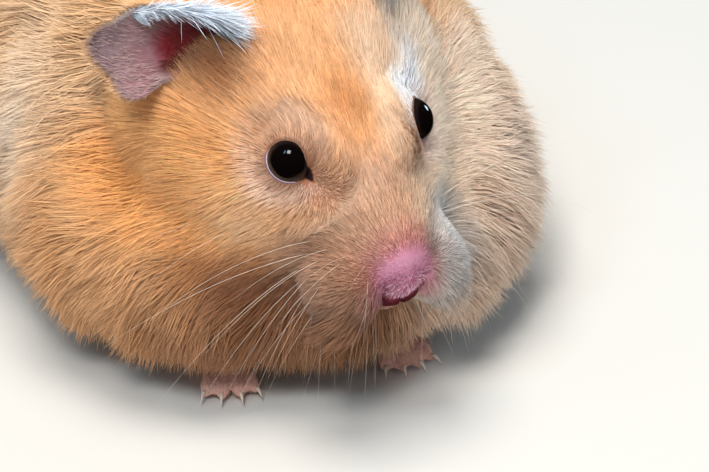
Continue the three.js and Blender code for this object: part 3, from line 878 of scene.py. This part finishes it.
skin_flow = lie_of_the_coat(skin_points, skin_normals)
hair_length = evened(length_of_hair(skin_points), 2)
loose = ramp(3.4, 8, hair_length)
back_share = ramp(30, 52, into_trunk(skin_points)[:, 2]) * (1 - head_share(skin_points))
skin_head, skin_trunk = into_head(skin_points), into_trunk(skin_points)
pad_share = ramp(-8, -11, skin_head[:, 2]) * ramp(-4, -8, skin_head[:, 1])
hair_lift = evened(40 + 2 * loose - 12 * back_share + 12 * pad_share, 6)
bald_lid = ramp(4 + 5 * lower_lid, 1.5 + 3 * lower_lid, lid_angle)
hairless = np.maximum(bald_lid, eye_corner_shade) + ramp(0.25, 0.5, damp_groove_shade)
below = ramp(1.4, 0.6, skin_points[:, 2])
hair_share = np.clip(1 - hairless - below, 0, 1)

corners = skin_points[skin_faces]
face_areas = np.linalg.norm(np.cross(corners[:, 1] - corners[:, 0], corners[:, 2] - corners[:, 0]), axis=1) / 2


def sown(share, count):
    """count roots strewn over the skin, as faces and weights within them; share says how thickly."""
    weight = face_areas * np.mean(share[skin_faces], axis=1)
    total = np.cumsum(weight)
    chosen = np.searchsorted(total, (np.arange(count) + rng.random(count)) * total[-1] / count)
    chosen = np.minimum(chosen, len(skin_faces) - 1)
    split, along = np.sqrt(rng.random(count)), rng.random(count)
    return skin_faces[chosen], np.stack([1 - split, split * (1 - along), split * along], axis=1)


def at_roots(values, roots):
    ids, weights = roots
    values = np.asarray(values, float)
    if values.ndim == 1:
        return np.sum(values[ids] * weights, axis=1)
    return np.einsum("nkc,nk->nc", values[ids], weights)


def turned_about(vectors, axes, angles):
    c, s = np.cos(angles)[:, None], np.sin(angles)[:, None]
    return vectors * c + np.cross(axes, vectors) * s + axes * np.sum(axes * vectors, axis=1)[:, None] * (1 - c)


def strands(root, normal, flow, length, lift, rest, joints):
    """Centre lines that leave the skin at the angle lift and lie down to the angle rest, in radians."""
    lines, spot = [root], root
    for before, after in zip(joints[:-1], joints[1:]):
        angle = lift + (rest - lift) * (before + after) / 2
        heading = flow * np.cos(angle)[:, None] + normal * np.sin(angle)[:, None]
        spot = spot + heading * (length * (after - before))[:, None]
        lines.append(spot)
    return np.stack(lines, axis=1)


fur_finish = finish_of("fur", 0.6, swing=0.2, shade=0.35, fineness=1300, Specular_IOR_Level=0.2, Sheen_Weight=0.12)
# How far each hair is twisted about its length, how a hair tapers from root to tip, how far the fur keeps
# off the floor, and the margin of the map and the patch of it that one hair takes.
TWIST = 50
TAPER = ([0, 0.3, 0.75, 1], [0.8, 1, 0.7, 0])
HAIR_GAP = 0.12
MAP_MARGIN = 0.012
MAP_PATCH = 0.003


def hair_piece(name, lines, normals, widths, colours, unwrap):
    """Joins tapering hairs into one mesh. Its map OFBake keeps each hair at its root's place."""
    count, joints = lines.shape[:2]
    along = unit(np.diff(lines, axis=1))
    along = np.concatenate([along, along[:, -1:]], axis=1)
    outward = np.repeat(normals[:, None], joints, axis=1)
    side = unit(np.cross(along, outward))
    face = np.cross(side, along)
    turn = np.radians(rng.uniform(-TWIST, TWIST, count))[:, None, None]
    edge, facing = side * np.cos(turn) + face * np.sin(turn), face * np.cos(turn) - side * np.sin(turn)
    thick = widths[:, None] * np.interp(np.linspace(0, 1, joints), *TAPER)[None]
    left, right = lines - edge * thick[..., None] / 2, lines + edge * thick[..., None] / 2
    per = 2 * joints - 1
    points, shown, tints = (np.empty((count, per, 3)) for _ in range(3))
    shading = unit(0.82 * outward + 0.18 * facing)
    for joint in range(joints - 1):
        points[:, 2 * joint], points[:, 2 * joint + 1] = left[:, joint], right[:, joint]
        for k in (2 * joint, 2 * joint + 1):
            shown[:, k], tints[:, k] = shading[:, joint], colours[:, joint]
    points[:, -1], shown[:, -1], tints[:, -1] = lines[:, -1], shading[:, -1], colours[:, -1]
    points[..., 2] = np.maximum(points[..., 2], HAIR_GAP)
    pattern = []
    for joint in range(joints - 2):
        a = 2 * joint
        pattern += [(a, a + 1, a + 3), (a, a + 3, a + 2)]
    pattern.append((per - 3, per - 2, per - 1))
    pattern = np.array(pattern)
    loops = (np.arange(count)[:, None, None] * per + pattern[None]).reshape(-1)
    mesh = bpy.data.meshes.new(name)
    mesh.vertices.add(count * per)
    mesh.vertices.foreach_set("co", (points * MM).astype(np.float32).ravel())
    mesh.loops.add(len(loops))
    mesh.loops.foreach_set("vertex_index", loops.astype(np.int32))
    mesh.polygons.add(len(loops) // 3)
    mesh.polygons.foreach_set("loop_start", np.arange(0, len(loops), 3, dtype=np.int32))
    mesh.update(calc_edges=True)
    place = unwrap(lines[:, 0])
    low, high = np.min(place, axis=0), np.max(place, axis=0)
    place = MAP_MARGIN + (1 - 2 * MAP_MARGIN) * (place - low) / (high - low)
    patch = np.zeros((per, 2))
    patch[:, 0] = np.where(np.arange(per) % 2 == 0, -MAP_PATCH / 2, MAP_PATCH / 2)
    patch[-1, 0] = 0
    patch[:, 1] = np.minimum(np.arange(per) // 2 * 2 / (per - 1), 1) * MAP_PATCH - MAP_PATCH / 2
    flat_map = (place[:, None] + patch[None]).reshape(-1, 2)[loops]
    mesh.uv_layers.new(name="OFBake").data.foreach_set("uv", flat_map.astype(np.float32).ravel())
    coloured(mesh, tints.reshape(-1, 3))
    placed_mesh(name, mesh, fur_finish)
    mesh.normals_split_custom_set_from_vertices(shown.reshape(-1, 3))


def round_head(points):
    direction = unit(into_head(points) - [0, 5, -6])
    away = np.arccos(np.clip(-direction[:, 1], -1, 1))
    ring = np.maximum(np.hypot(direction[:, 0], direction[:, 2]), 1e-6)
    return np.stack([away * direction[:, 0] / ring, away * direction[:, 2] / ring], axis=1)


def round_trunk(points):
    t = into_trunk(points)
    return np.stack([np.arctan2(t[:, 0], t[:, 2] - 20), t[:, 1] / 40], axis=1)


def from_below(points):
    return into_trunk(points)[:, :2]


# A hair is painted darker at its root, as painted shade deep in the coat, and paler at its tip, as a painted highlight
# where the tips catch the light. The nap on the nose has pinks of its own, and three in ten of its hairs are bright.
# Each bright hair is lifted by the second of a pair of colours.
ROOT_PAINTED_SHADE, VELVET_PAINTED_SHADE = np.array([0.86, 0.77, 0.68]), np.array([0.9, 0.84, 0.86])
TIP_PAINTED_HIGHLIGHT = np.array([255.0, 240, 220])
NAP_ROOT = np.array([166.0, 76, 108])
NAP_MIDDLE, NAP_MIDDLE_LIFT = np.array([204.0, 112, 150]), np.array([40.0, 80, 64])
NAP_TIP, NAP_TIP_LIFT = np.array([214.0, 124, 160]), np.array([41.0, 112, 86])


def coat_piece(name, share, count, width, joints, lock_count, unwrap):
    roots = sown(share * hair_share, count)
    root, normal = at_roots(skin_points, roots), unit(at_roots(skin_normals, roots))
    flow = at_roots(skin_flow, roots)
    flow = unit(flow - np.sum(flow * normal, axis=1)[:, None] * normal)
    length, soft = at_roots(hair_length, roots), at_roots(loose, roots)
    swirl = np.radians(9 + 9 * soft) * wandering(root, 9, 31) + np.radians(6 + 6 * soft) * rng.normal(size=count)
    flow = turned_about(flow, normal, swirl)
    length = length * (1 + 0.12 * wandering(root, 7, 32)) * rng.uniform(0.72, 1.12, count)
    raised = at_roots(hair_lift, roots)
    lift = np.radians(raised + 6 * wandering(root, 6, 33) + 5 * rng.normal(size=count))
    rest = np.radians(0.2 * raised + 4 * rng.normal(size=count))
    spots = np.linspace(0, 1, joints)
    lines = strands(root, normal, flow, length, lift, rest, spots)
    # Hairs draw together into locks towards their tips.
    keys = rng.choice(count, lock_count, replace=False)
    tree = kdtree.KDTree(len(keys))
    for k, key in enumerate(keys):
        tree.insert(root[key], k)
    tree.balance()
    lock = keys[np.array([tree.find(point)[1] for point in root])]
    offset = root - root[lock]
    drawn = (0.22 + 0.32 * soft)[:, None, None] * (spots**1.3)[None, :, None]
    scale = (length / np.maximum(length[lock], 0.1))[:, None, None]
    together = root[lock][:, None] + (lines[lock] - root[lock][:, None]) * scale + 0.2 * offset[:, None]
    lines = lines + (together - lines) * drawn
    # No hair hangs over an open eye.
    clear = np.ones(count, bool)
    for side in (-1, 1):
        for k in range(joints):
            past_rim, distance, _, around = round_the_eye(lines[:, k], side)
            over_eye = distance < np.where(np.abs(around) < 40, 4.0, 6.5)
            clear &= ~((past_rim < 3) & over_eye) & ~(distance < EYE_RADIUS + 0.1)
    base = markings(root)
    shade = (1 + 0.05 * rng.normal(size=count) + 0.04 * rng.normal(size=count)[lock])[:, None]
    velvet = ramp(1.6, 0.9, length)[:, None]
    x, y, z = into_head(root).T
    half_width = 3.1 - 1.5 * ramp(-11.5, -14, z)
    on_nose = ramp(-8, -11, z) * ramp(-15.8, -14.6, z) * ramp(0.5, -0.5, np.abs(x) - half_width)
    fuzz = (on_nose * ramp(-14.5, -15.5, y))[:, None]
    # Painted shade darkens each root, less on the short velvet hairs, and a painted highlight pales each tip except on
    # the nose.
    deep = base * (ROOT_PAINTED_SHADE * (1 - velvet) + VELVET_PAINTED_SHADE * velvet)
    pale = base + (TIP_PAINTED_HIGHLIGHT - base) * 0.22 * (1 - fuzz)
    bright = fuzz * (rng.random((count, 1)) < 0.3)
    deep = deep + (NAP_ROOT - deep) * fuzz * (1 - 0.4 * bright)
    base = base + (NAP_MIDDLE - base) * fuzz + NAP_MIDDLE_LIFT * bright
    pale = pale + (NAP_TIP - pale) * fuzz + NAP_TIP_LIFT * bright
    tones = [deep + (base - deep) * min(s / 0.45, 1) + (pale - base) * max((s - 0.45) / 0.55, 0) for s in spots]
    colours = to_linear((np.stack(tones, axis=1) * shade[:, None]).reshape(-1, 3)).reshape(count, joints, 3)
    widths = width * rng.uniform(0.75, 1.25, count) * np.clip(length / 3.5, 0.45, 1) * (1 + 1.3 * bright[:, 0])
    hair_piece(name, lines[clear], normal[clear], widths[clear], colours[clear], unwrap)


on_head = head_share(skin_points)
right_half = ramp(0.4, -0.4, skin_head[:, 0])
low_parts = np.clip(ramp(15, 11, skin_trunk[:, 2]) + near_legs(skin_points), 0, 1) * (1 - on_head)
upper = (1 - on_head) * (1 - low_parts)
fore = ramp(36, 34, skin_trunk[:, 1])
rear = ramp(72, 74, skin_trunk[:, 1])
right_side = ramp(0.5, -0.5, skin_trunk[:, 0])
PARTS = [
    ("coat_face_right", on_head * right_half, 66000, 0.105, 3, 5200, round_head),
    ("coat_face_left", on_head * (1 - right_half), 66000, 0.105, 3, 5200, round_head),
    ("coat_shoulder_right", upper * fore * right_side, 39000, 0.16, 4, 1900, round_trunk),
    ("coat_shoulder_left", upper * fore * (1 - right_side), 39000, 0.16, 4, 1900, round_trunk),
    ("coat_flank_right", upper * (1 - fore) * (1 - rear) * right_side, 65000, 0.22, 3, 1800, round_trunk),
    ("coat_flank_left", upper * (1 - fore) * (1 - rear) * (1 - right_side), 65000, 0.22, 3, 1800, round_trunk),
    ("coat_rump", upper * rear, 58000, 0.22, 3, 1800, round_trunk),
    ("coat_belly", low_parts, 28000, 0.22, 3, 1600, from_below),
]
for name, share, count, width, joints, locks, unwrap in PARTS:
    coat_piece(name, share, count, width, joints, locks, unwrap)

# ---- Hair of the ears -------------------------------------------------------------------------------
# A sparse pale down lines each ear, short golden fur covers its back, and long white tufts spring from
# the fore edge and hang over the fold.
def ear_hair(ear_name, part, count, width, joints):
    ear = EARS[ear_name]
    angle = rng.uniform(-180, 180, count)
    spread = np.sqrt(rng.uniform(0.02, 1, count))
    if part == "fringe":
        angle, spread = rng.uniform(38, 150 if ear_name == "right" else 112, count), rng.uniform(0.78, 1.0, count)
    elif part == "rim":
        spread = rng.uniform(0.95, 1.0, count)
    reach = smooth_through(EAR_OUTLINE[:, 0], EAR_OUTLINE[:, 1], angle) * spread**0.8
    length, breadth = EAR_MIDDLE + reach * np.cos(np.radians(angle)), reach * np.sin(np.radians(angle))
    tipward, foreward, hollow = (HEAD_AXES @ axis for axis in ear_axes(ear))
    inward = -1 if part == "back" else 1
    height = np.full(count, inward * EAR_THICKNESS * 0.45)
    root = on_ear(ear, length, breadth, height)
    step = on_ear(ear, length + 0.2, breadth, height) - root
    cross = on_ear(ear, length, breadth + 0.2, height) - root
    normal = unit(np.cross(step, cross))
    normal *= np.sign(normal @ hollow)[:, None] * inward
    out = np.cos(np.radians(angle))[:, None] * tipward + np.sin(np.radians(angle))[:, None] * foreward
    flow = {
        "hollow": tipward + 0.5 * out,
        "back": tipward + 0.3 * out,
        "rim": out + 0.6 * tipward,
        "fringe": out * 0.3 - 0.75 * tipward + 0.5 * hollow - 0.45 * rng.random((count, 1)) * foreward,
    }[part]
    flow = unit(flow + 0.22 * rng.normal(size=(count, 3)))
    if part == "fringe":
        normal = unit(normal + [0, 0, 1.5])
        root_side = ramp(50, 110, angle)
    if part in ("hollow", "back"):
        flow = unit(flow - np.sum(flow * normal, axis=1)[:, None] * normal)
    size, lift, tone = {
        "hollow": (1.5, 34, (198, 164, 160)),
        "back": (2.0, 26, (222, 178, 134)),
        "rim": (0.9, 12, (184, 152, 142)),
        "fringe": (4.2, 14, (222, 232, 246)),
    }[part]
    size = size * rng.uniform(0.6, 1.2, count)
    if part == "fringe":
        size = size * (0.55 + 0.75 * root_side)
    spots = np.linspace(0, 1, joints)
    lifts, rests = np.radians(lift + 6 * rng.normal(size=count)), np.radians(np.full(count, -4.0))
    lines = strands(root, normal, flow, size, lifts, rests, spots)
    base = np.tile(np.array(tone, float), (count, 1))
    if part == "hollow":
        base = mixed(base, (112, 40, 36), ramp(4.4, 2.2, from_canal(length, breadth)))
    if part == "rim":
        base = mixed(base, (250, 250, 252), ramp(5, 40, angle))
    base = base * (1 + (0.12 if part == "fringe" else 0.06) * rng.normal(size=count))[:, None]
    tones = np.stack([base * (0.82 + 0.2 * s) for s in spots], axis=1).reshape(-1, 3)
    widths = width * rng.uniform(0.7, 1.2, count)
    colours = to_linear(tones).reshape(count, joints, 3)
    chart = np.stack([length, breadth], axis=1)
    hair_piece(f"ear_{part}_{ear_name}", lines, normal, widths, colours, lambda _: chart)


for ear_name in EARS:
    ear_hair(ear_name, "hollow", 1900, 0.06, 3)
    ear_hair(ear_name, "back", 5200, 0.12, 3)
    ear_hair(ear_name, "rim", 1300, 0.06, 3)
    ear_hair(ear_name, "fringe", 1500, 0.08, 4)

# ---- Whiskers ---------------------------------------------------------------------------------------
# Stiff, tapering white hairs, in five rows of four on each pad of the muzzle, longest at the back. Nine
# short ones hang by the lip, and two stand above each eye and two on each cheek. All are set deep.
skin_tree = BVHTree.FromPolygons([tuple(p) for p in skin_points], skin_faces.tolist())
whisker_paths, whisker_sizes = [], []
# Axis and place at which a whisker is cut short: left, right, ahead, and just above the floor.
WHISKER_ENDS = ((0, 50.5), (0, -50.5), (1, -71.0), (2, 1.4))
SET_DEEP = 0.8


def whisker(place, heading, length, droop, thickness):
    root = np.array(skin_tree.find_nearest(Vector(out_of_head(place)))[0])
    heading = HEAD_AXES @ unit(heading)
    share = np.linspace(0, 1, 15)[:, None]
    curve = heading * share + (np.array([0, 0, -1.0]) * droop + HEAD_AXES @ [0, 0.2 * droop, 0]) * share**2
    end = root + curve[-1] * length
    for axis, limit in WHISKER_ENDS:
        if (end[axis] - limit) * (limit - root[axis]) > 0:
            length *= (limit - root[axis]) / (end[axis] - root[axis])
            end = root + curve[-1] * length
    whisker_paths.append(root - heading * SET_DEEP + curve * (length + SET_DEEP))
    whisker_sizes.append(thickness)


for side in (-1, 1):
    for row in range(5):
        for column in range(4):
            back = column / 3
            place = (side * (5.5 + 3.8 * back), -15 + 7 * back, -8 - 2.1 * row - 0.6 * back)
            heading = np.array([side * (0.85 + 0.25 * back), -0.7 + 0.75 * back, 0.42 - 0.34 * row])
            length = (8 + (21 if side < 0 else 26) * back) * (1 - 0.1 * row) * rng.uniform(0.75, 1.15)
            curl = rng.uniform(0.16, 0.4) + 0.16 * row
            whisker(place, heading + 0.12 * rng.normal(size=3), length, curl, 0.034 + 0.026 * back)
    for k in range(9):
        place = (side * (2.6 + 0.8 * k), -16 + 0.6 * k, -17.5 + 0.35 * k)
        heading = np.array([side * 0.35, -0.75, -0.75]) + 0.2 * rng.normal(size=3)
        whisker(place, heading, rng.uniform(4, 8.5), rng.uniform(0.4, 0.9), 0.045)
    for k in range(2):
        whisker((side * (7 + k), 4.5, 3), (side * (0.5 + 0.2 * k), -0.1 + 0.3 * k, 1), 8, 0.3, 0.05)
        whisker((side * 15, 1 + 3 * k, -12), (side, 0.1 + 0.3 * k, -0.2), 12, 0.3, 0.05)

paths = np.array(whisker_paths)
count, steps = paths.shape[:2]
along = unit(np.gradient(paths, axis=1))
side_way = unit(np.cross(along, [0.12, 0.2, 1.0]))
other_way = np.cross(along, side_way)
SIDES = 5
turns = np.linspace(0, 2 * np.pi, SIDES, endpoint=False)
taper = np.interp(np.linspace(0, 1, steps), [0, 0.5, 1], [1, 0.7, 0.18])
radius = np.array(whisker_sizes)[:, None, None, None] / 2 * taper[None, :, None, None]
ring = side_way[:, :, None] * np.cos(turns)[:, None] + other_way[:, :, None] * np.sin(turns)[:, None]
tube = (paths[:, :, None] + ring * radius).reshape(-1, 3)
whisker_faces = []
for k in range(count):
    for step in range(steps - 1):
        for turn in range(SIDES):
            a = (k * steps + step) * SIDES + turn
            b = (k * steps + step) * SIDES + (turn + 1) % SIDES
            whisker_faces.append((a, b, b + SIDES, a + SIDES))
    first, last = k * steps * SIDES, (k * steps + steps - 1) * SIDES
    whisker_faces.append(tuple(range(first, first + SIDES))[::-1])
    whisker_faces.append(tuple(range(last, last + SIDES)))
mesh = bpy.data.meshes.new("whiskers")
mesh.from_pydata([tuple(p) for p in tube * MM], [], whisker_faces)
WHISKER_WHITE = srgb(232, 216, 200)
whisker_finish = finish_of(
    "whisker", 0.35, swing=0.1, shade=0.2, fineness=1200, plain=WHISKER_WHITE, Specular_IOR_Level=0.5
)
placed_mesh("whiskers", mesh, whisker_finish)
bm = bmesh.new()
bm.from_mesh(mesh)
bmesh.ops.recalc_face_normals(bm, faces=bm.faces)
bm.to_mesh(mesh)
bm.free()

# ---- Floor, light and camera ------------------------------------------------------------------------
# A plain pale floor and soft light from a large window above. A lamp, a patch of sky and a low window
# far off also show in the eyes. The camera looks down on the right side of the face from close by.
VIEW_TURN, VIEW_RISE, VIEW_REACH = np.radians(-15), np.radians(31), 300.0
AIM_BELOW, AIM_ASIDE = 13.3, 0.33
LAMP_REACH = 460
toward = np.array([np.sin(VIEW_TURN) * np.cos(VIEW_RISE), -np.cos(VIEW_TURN) * np.cos(VIEW_RISE), np.sin(VIEW_RISE)])
across = np.array([np.cos(VIEW_TURN), np.sin(VIEW_TURN), 0])
upward = np.cross(toward, across)
lens = bpy.data.cameras.new("camera")
lens.lens = 116.7
lens.sensor_width = 36
lens.clip_start = 0.01
camera = bpy.data.objects.new("camera", lens)
bpy.context.scene.collection.objects.link(camera)
eye_point = Vector((HEAD_ORIGIN + VIEW_REACH * toward) * MM)
aim_point = Vector((HEAD_ORIGIN - AIM_BELOW * upward + AIM_ASIDE * across) * MM)
camera.location = eye_point
camera.rotation_euler = (aim_point - eye_point).to_track_quat("-Z", "Y").to_euler()
bpy.context.scene.camera = camera

bm = bmesh.new()
bmesh.ops.create_grid(bm, x_segments=1, y_segments=1, size=2.0)
floor_mesh = bpy.data.meshes.new("floor")
bm.to_mesh(floor_mesh)
bm.free()
floor = bpy.data.objects.new("floor", floor_mesh)
bpy.context.scene.collection.objects.link(floor)
FLOOR_GREY = srgb(206, 202, 196)
floor_mesh.materials.append(finish_of("pale floor", 0.85, swing=0.05, shade=0.02, fineness=40, plain=FLOOR_GREY))
floor.visible_glossy = False


def window(name, place, aim, size, power, colour, seen_in_eyes=True):
    lamp = bpy.data.lights.new(name, "AREA")
    lamp.shape = "RECTANGLE"
    lamp.size, lamp.size_y = size
    lamp.energy = power
    lamp.color = colour
    light = bpy.data.objects.new(name, lamp)
    bpy.context.scene.collection.objects.link(light)
    light.location = Vector(np.array(place) * MM)
    light.rotation_euler = (Vector(np.array(aim) * MM) - light.location).to_track_quat("-Z", "Y").to_euler()
    light.visible_glossy = seen_in_eyes


window("window", (-40, -20, 635), (0, -20, 20), (0.34, 0.34), 3.9, (1.0, 0.98, 0.94), seen_in_eyes=False)
for name, toward_it, size, power, colour in (
    ("lamp", (-0.30, -0.46, 0.83), (0.11, 0.12), 1.2, (1.0, 1.0, 1.0)),
    ("sky", (-0.567, -0.303, 0.766), (0.05, 0.1), 0.24, (0.3, 0.75, 1.0)),
    ("far window", (0.845, 0.50, 0.17), (0.1, 0.08), 0.65, (0.5, 0.82, 1.0)),
):
    window(name, HEAD_ORIGIN + LAMP_REACH * np.array(toward_it), HEAD_ORIGIN, size, power, colour)
world = bpy.data.worlds.new("room")
bpy.context.scene.world = world
world.use_nodes = True
world.node_tree.nodes["Background"].inputs["Color"].default_value = (0.95, 0.95, 1.0, 1)
world.node_tree.nodes["Background"].inputs["Strength"].default_value = 0.33
world.cycles_visibility.glossy = False
bpy.context.scene.view_settings.view_transform = "Standard"
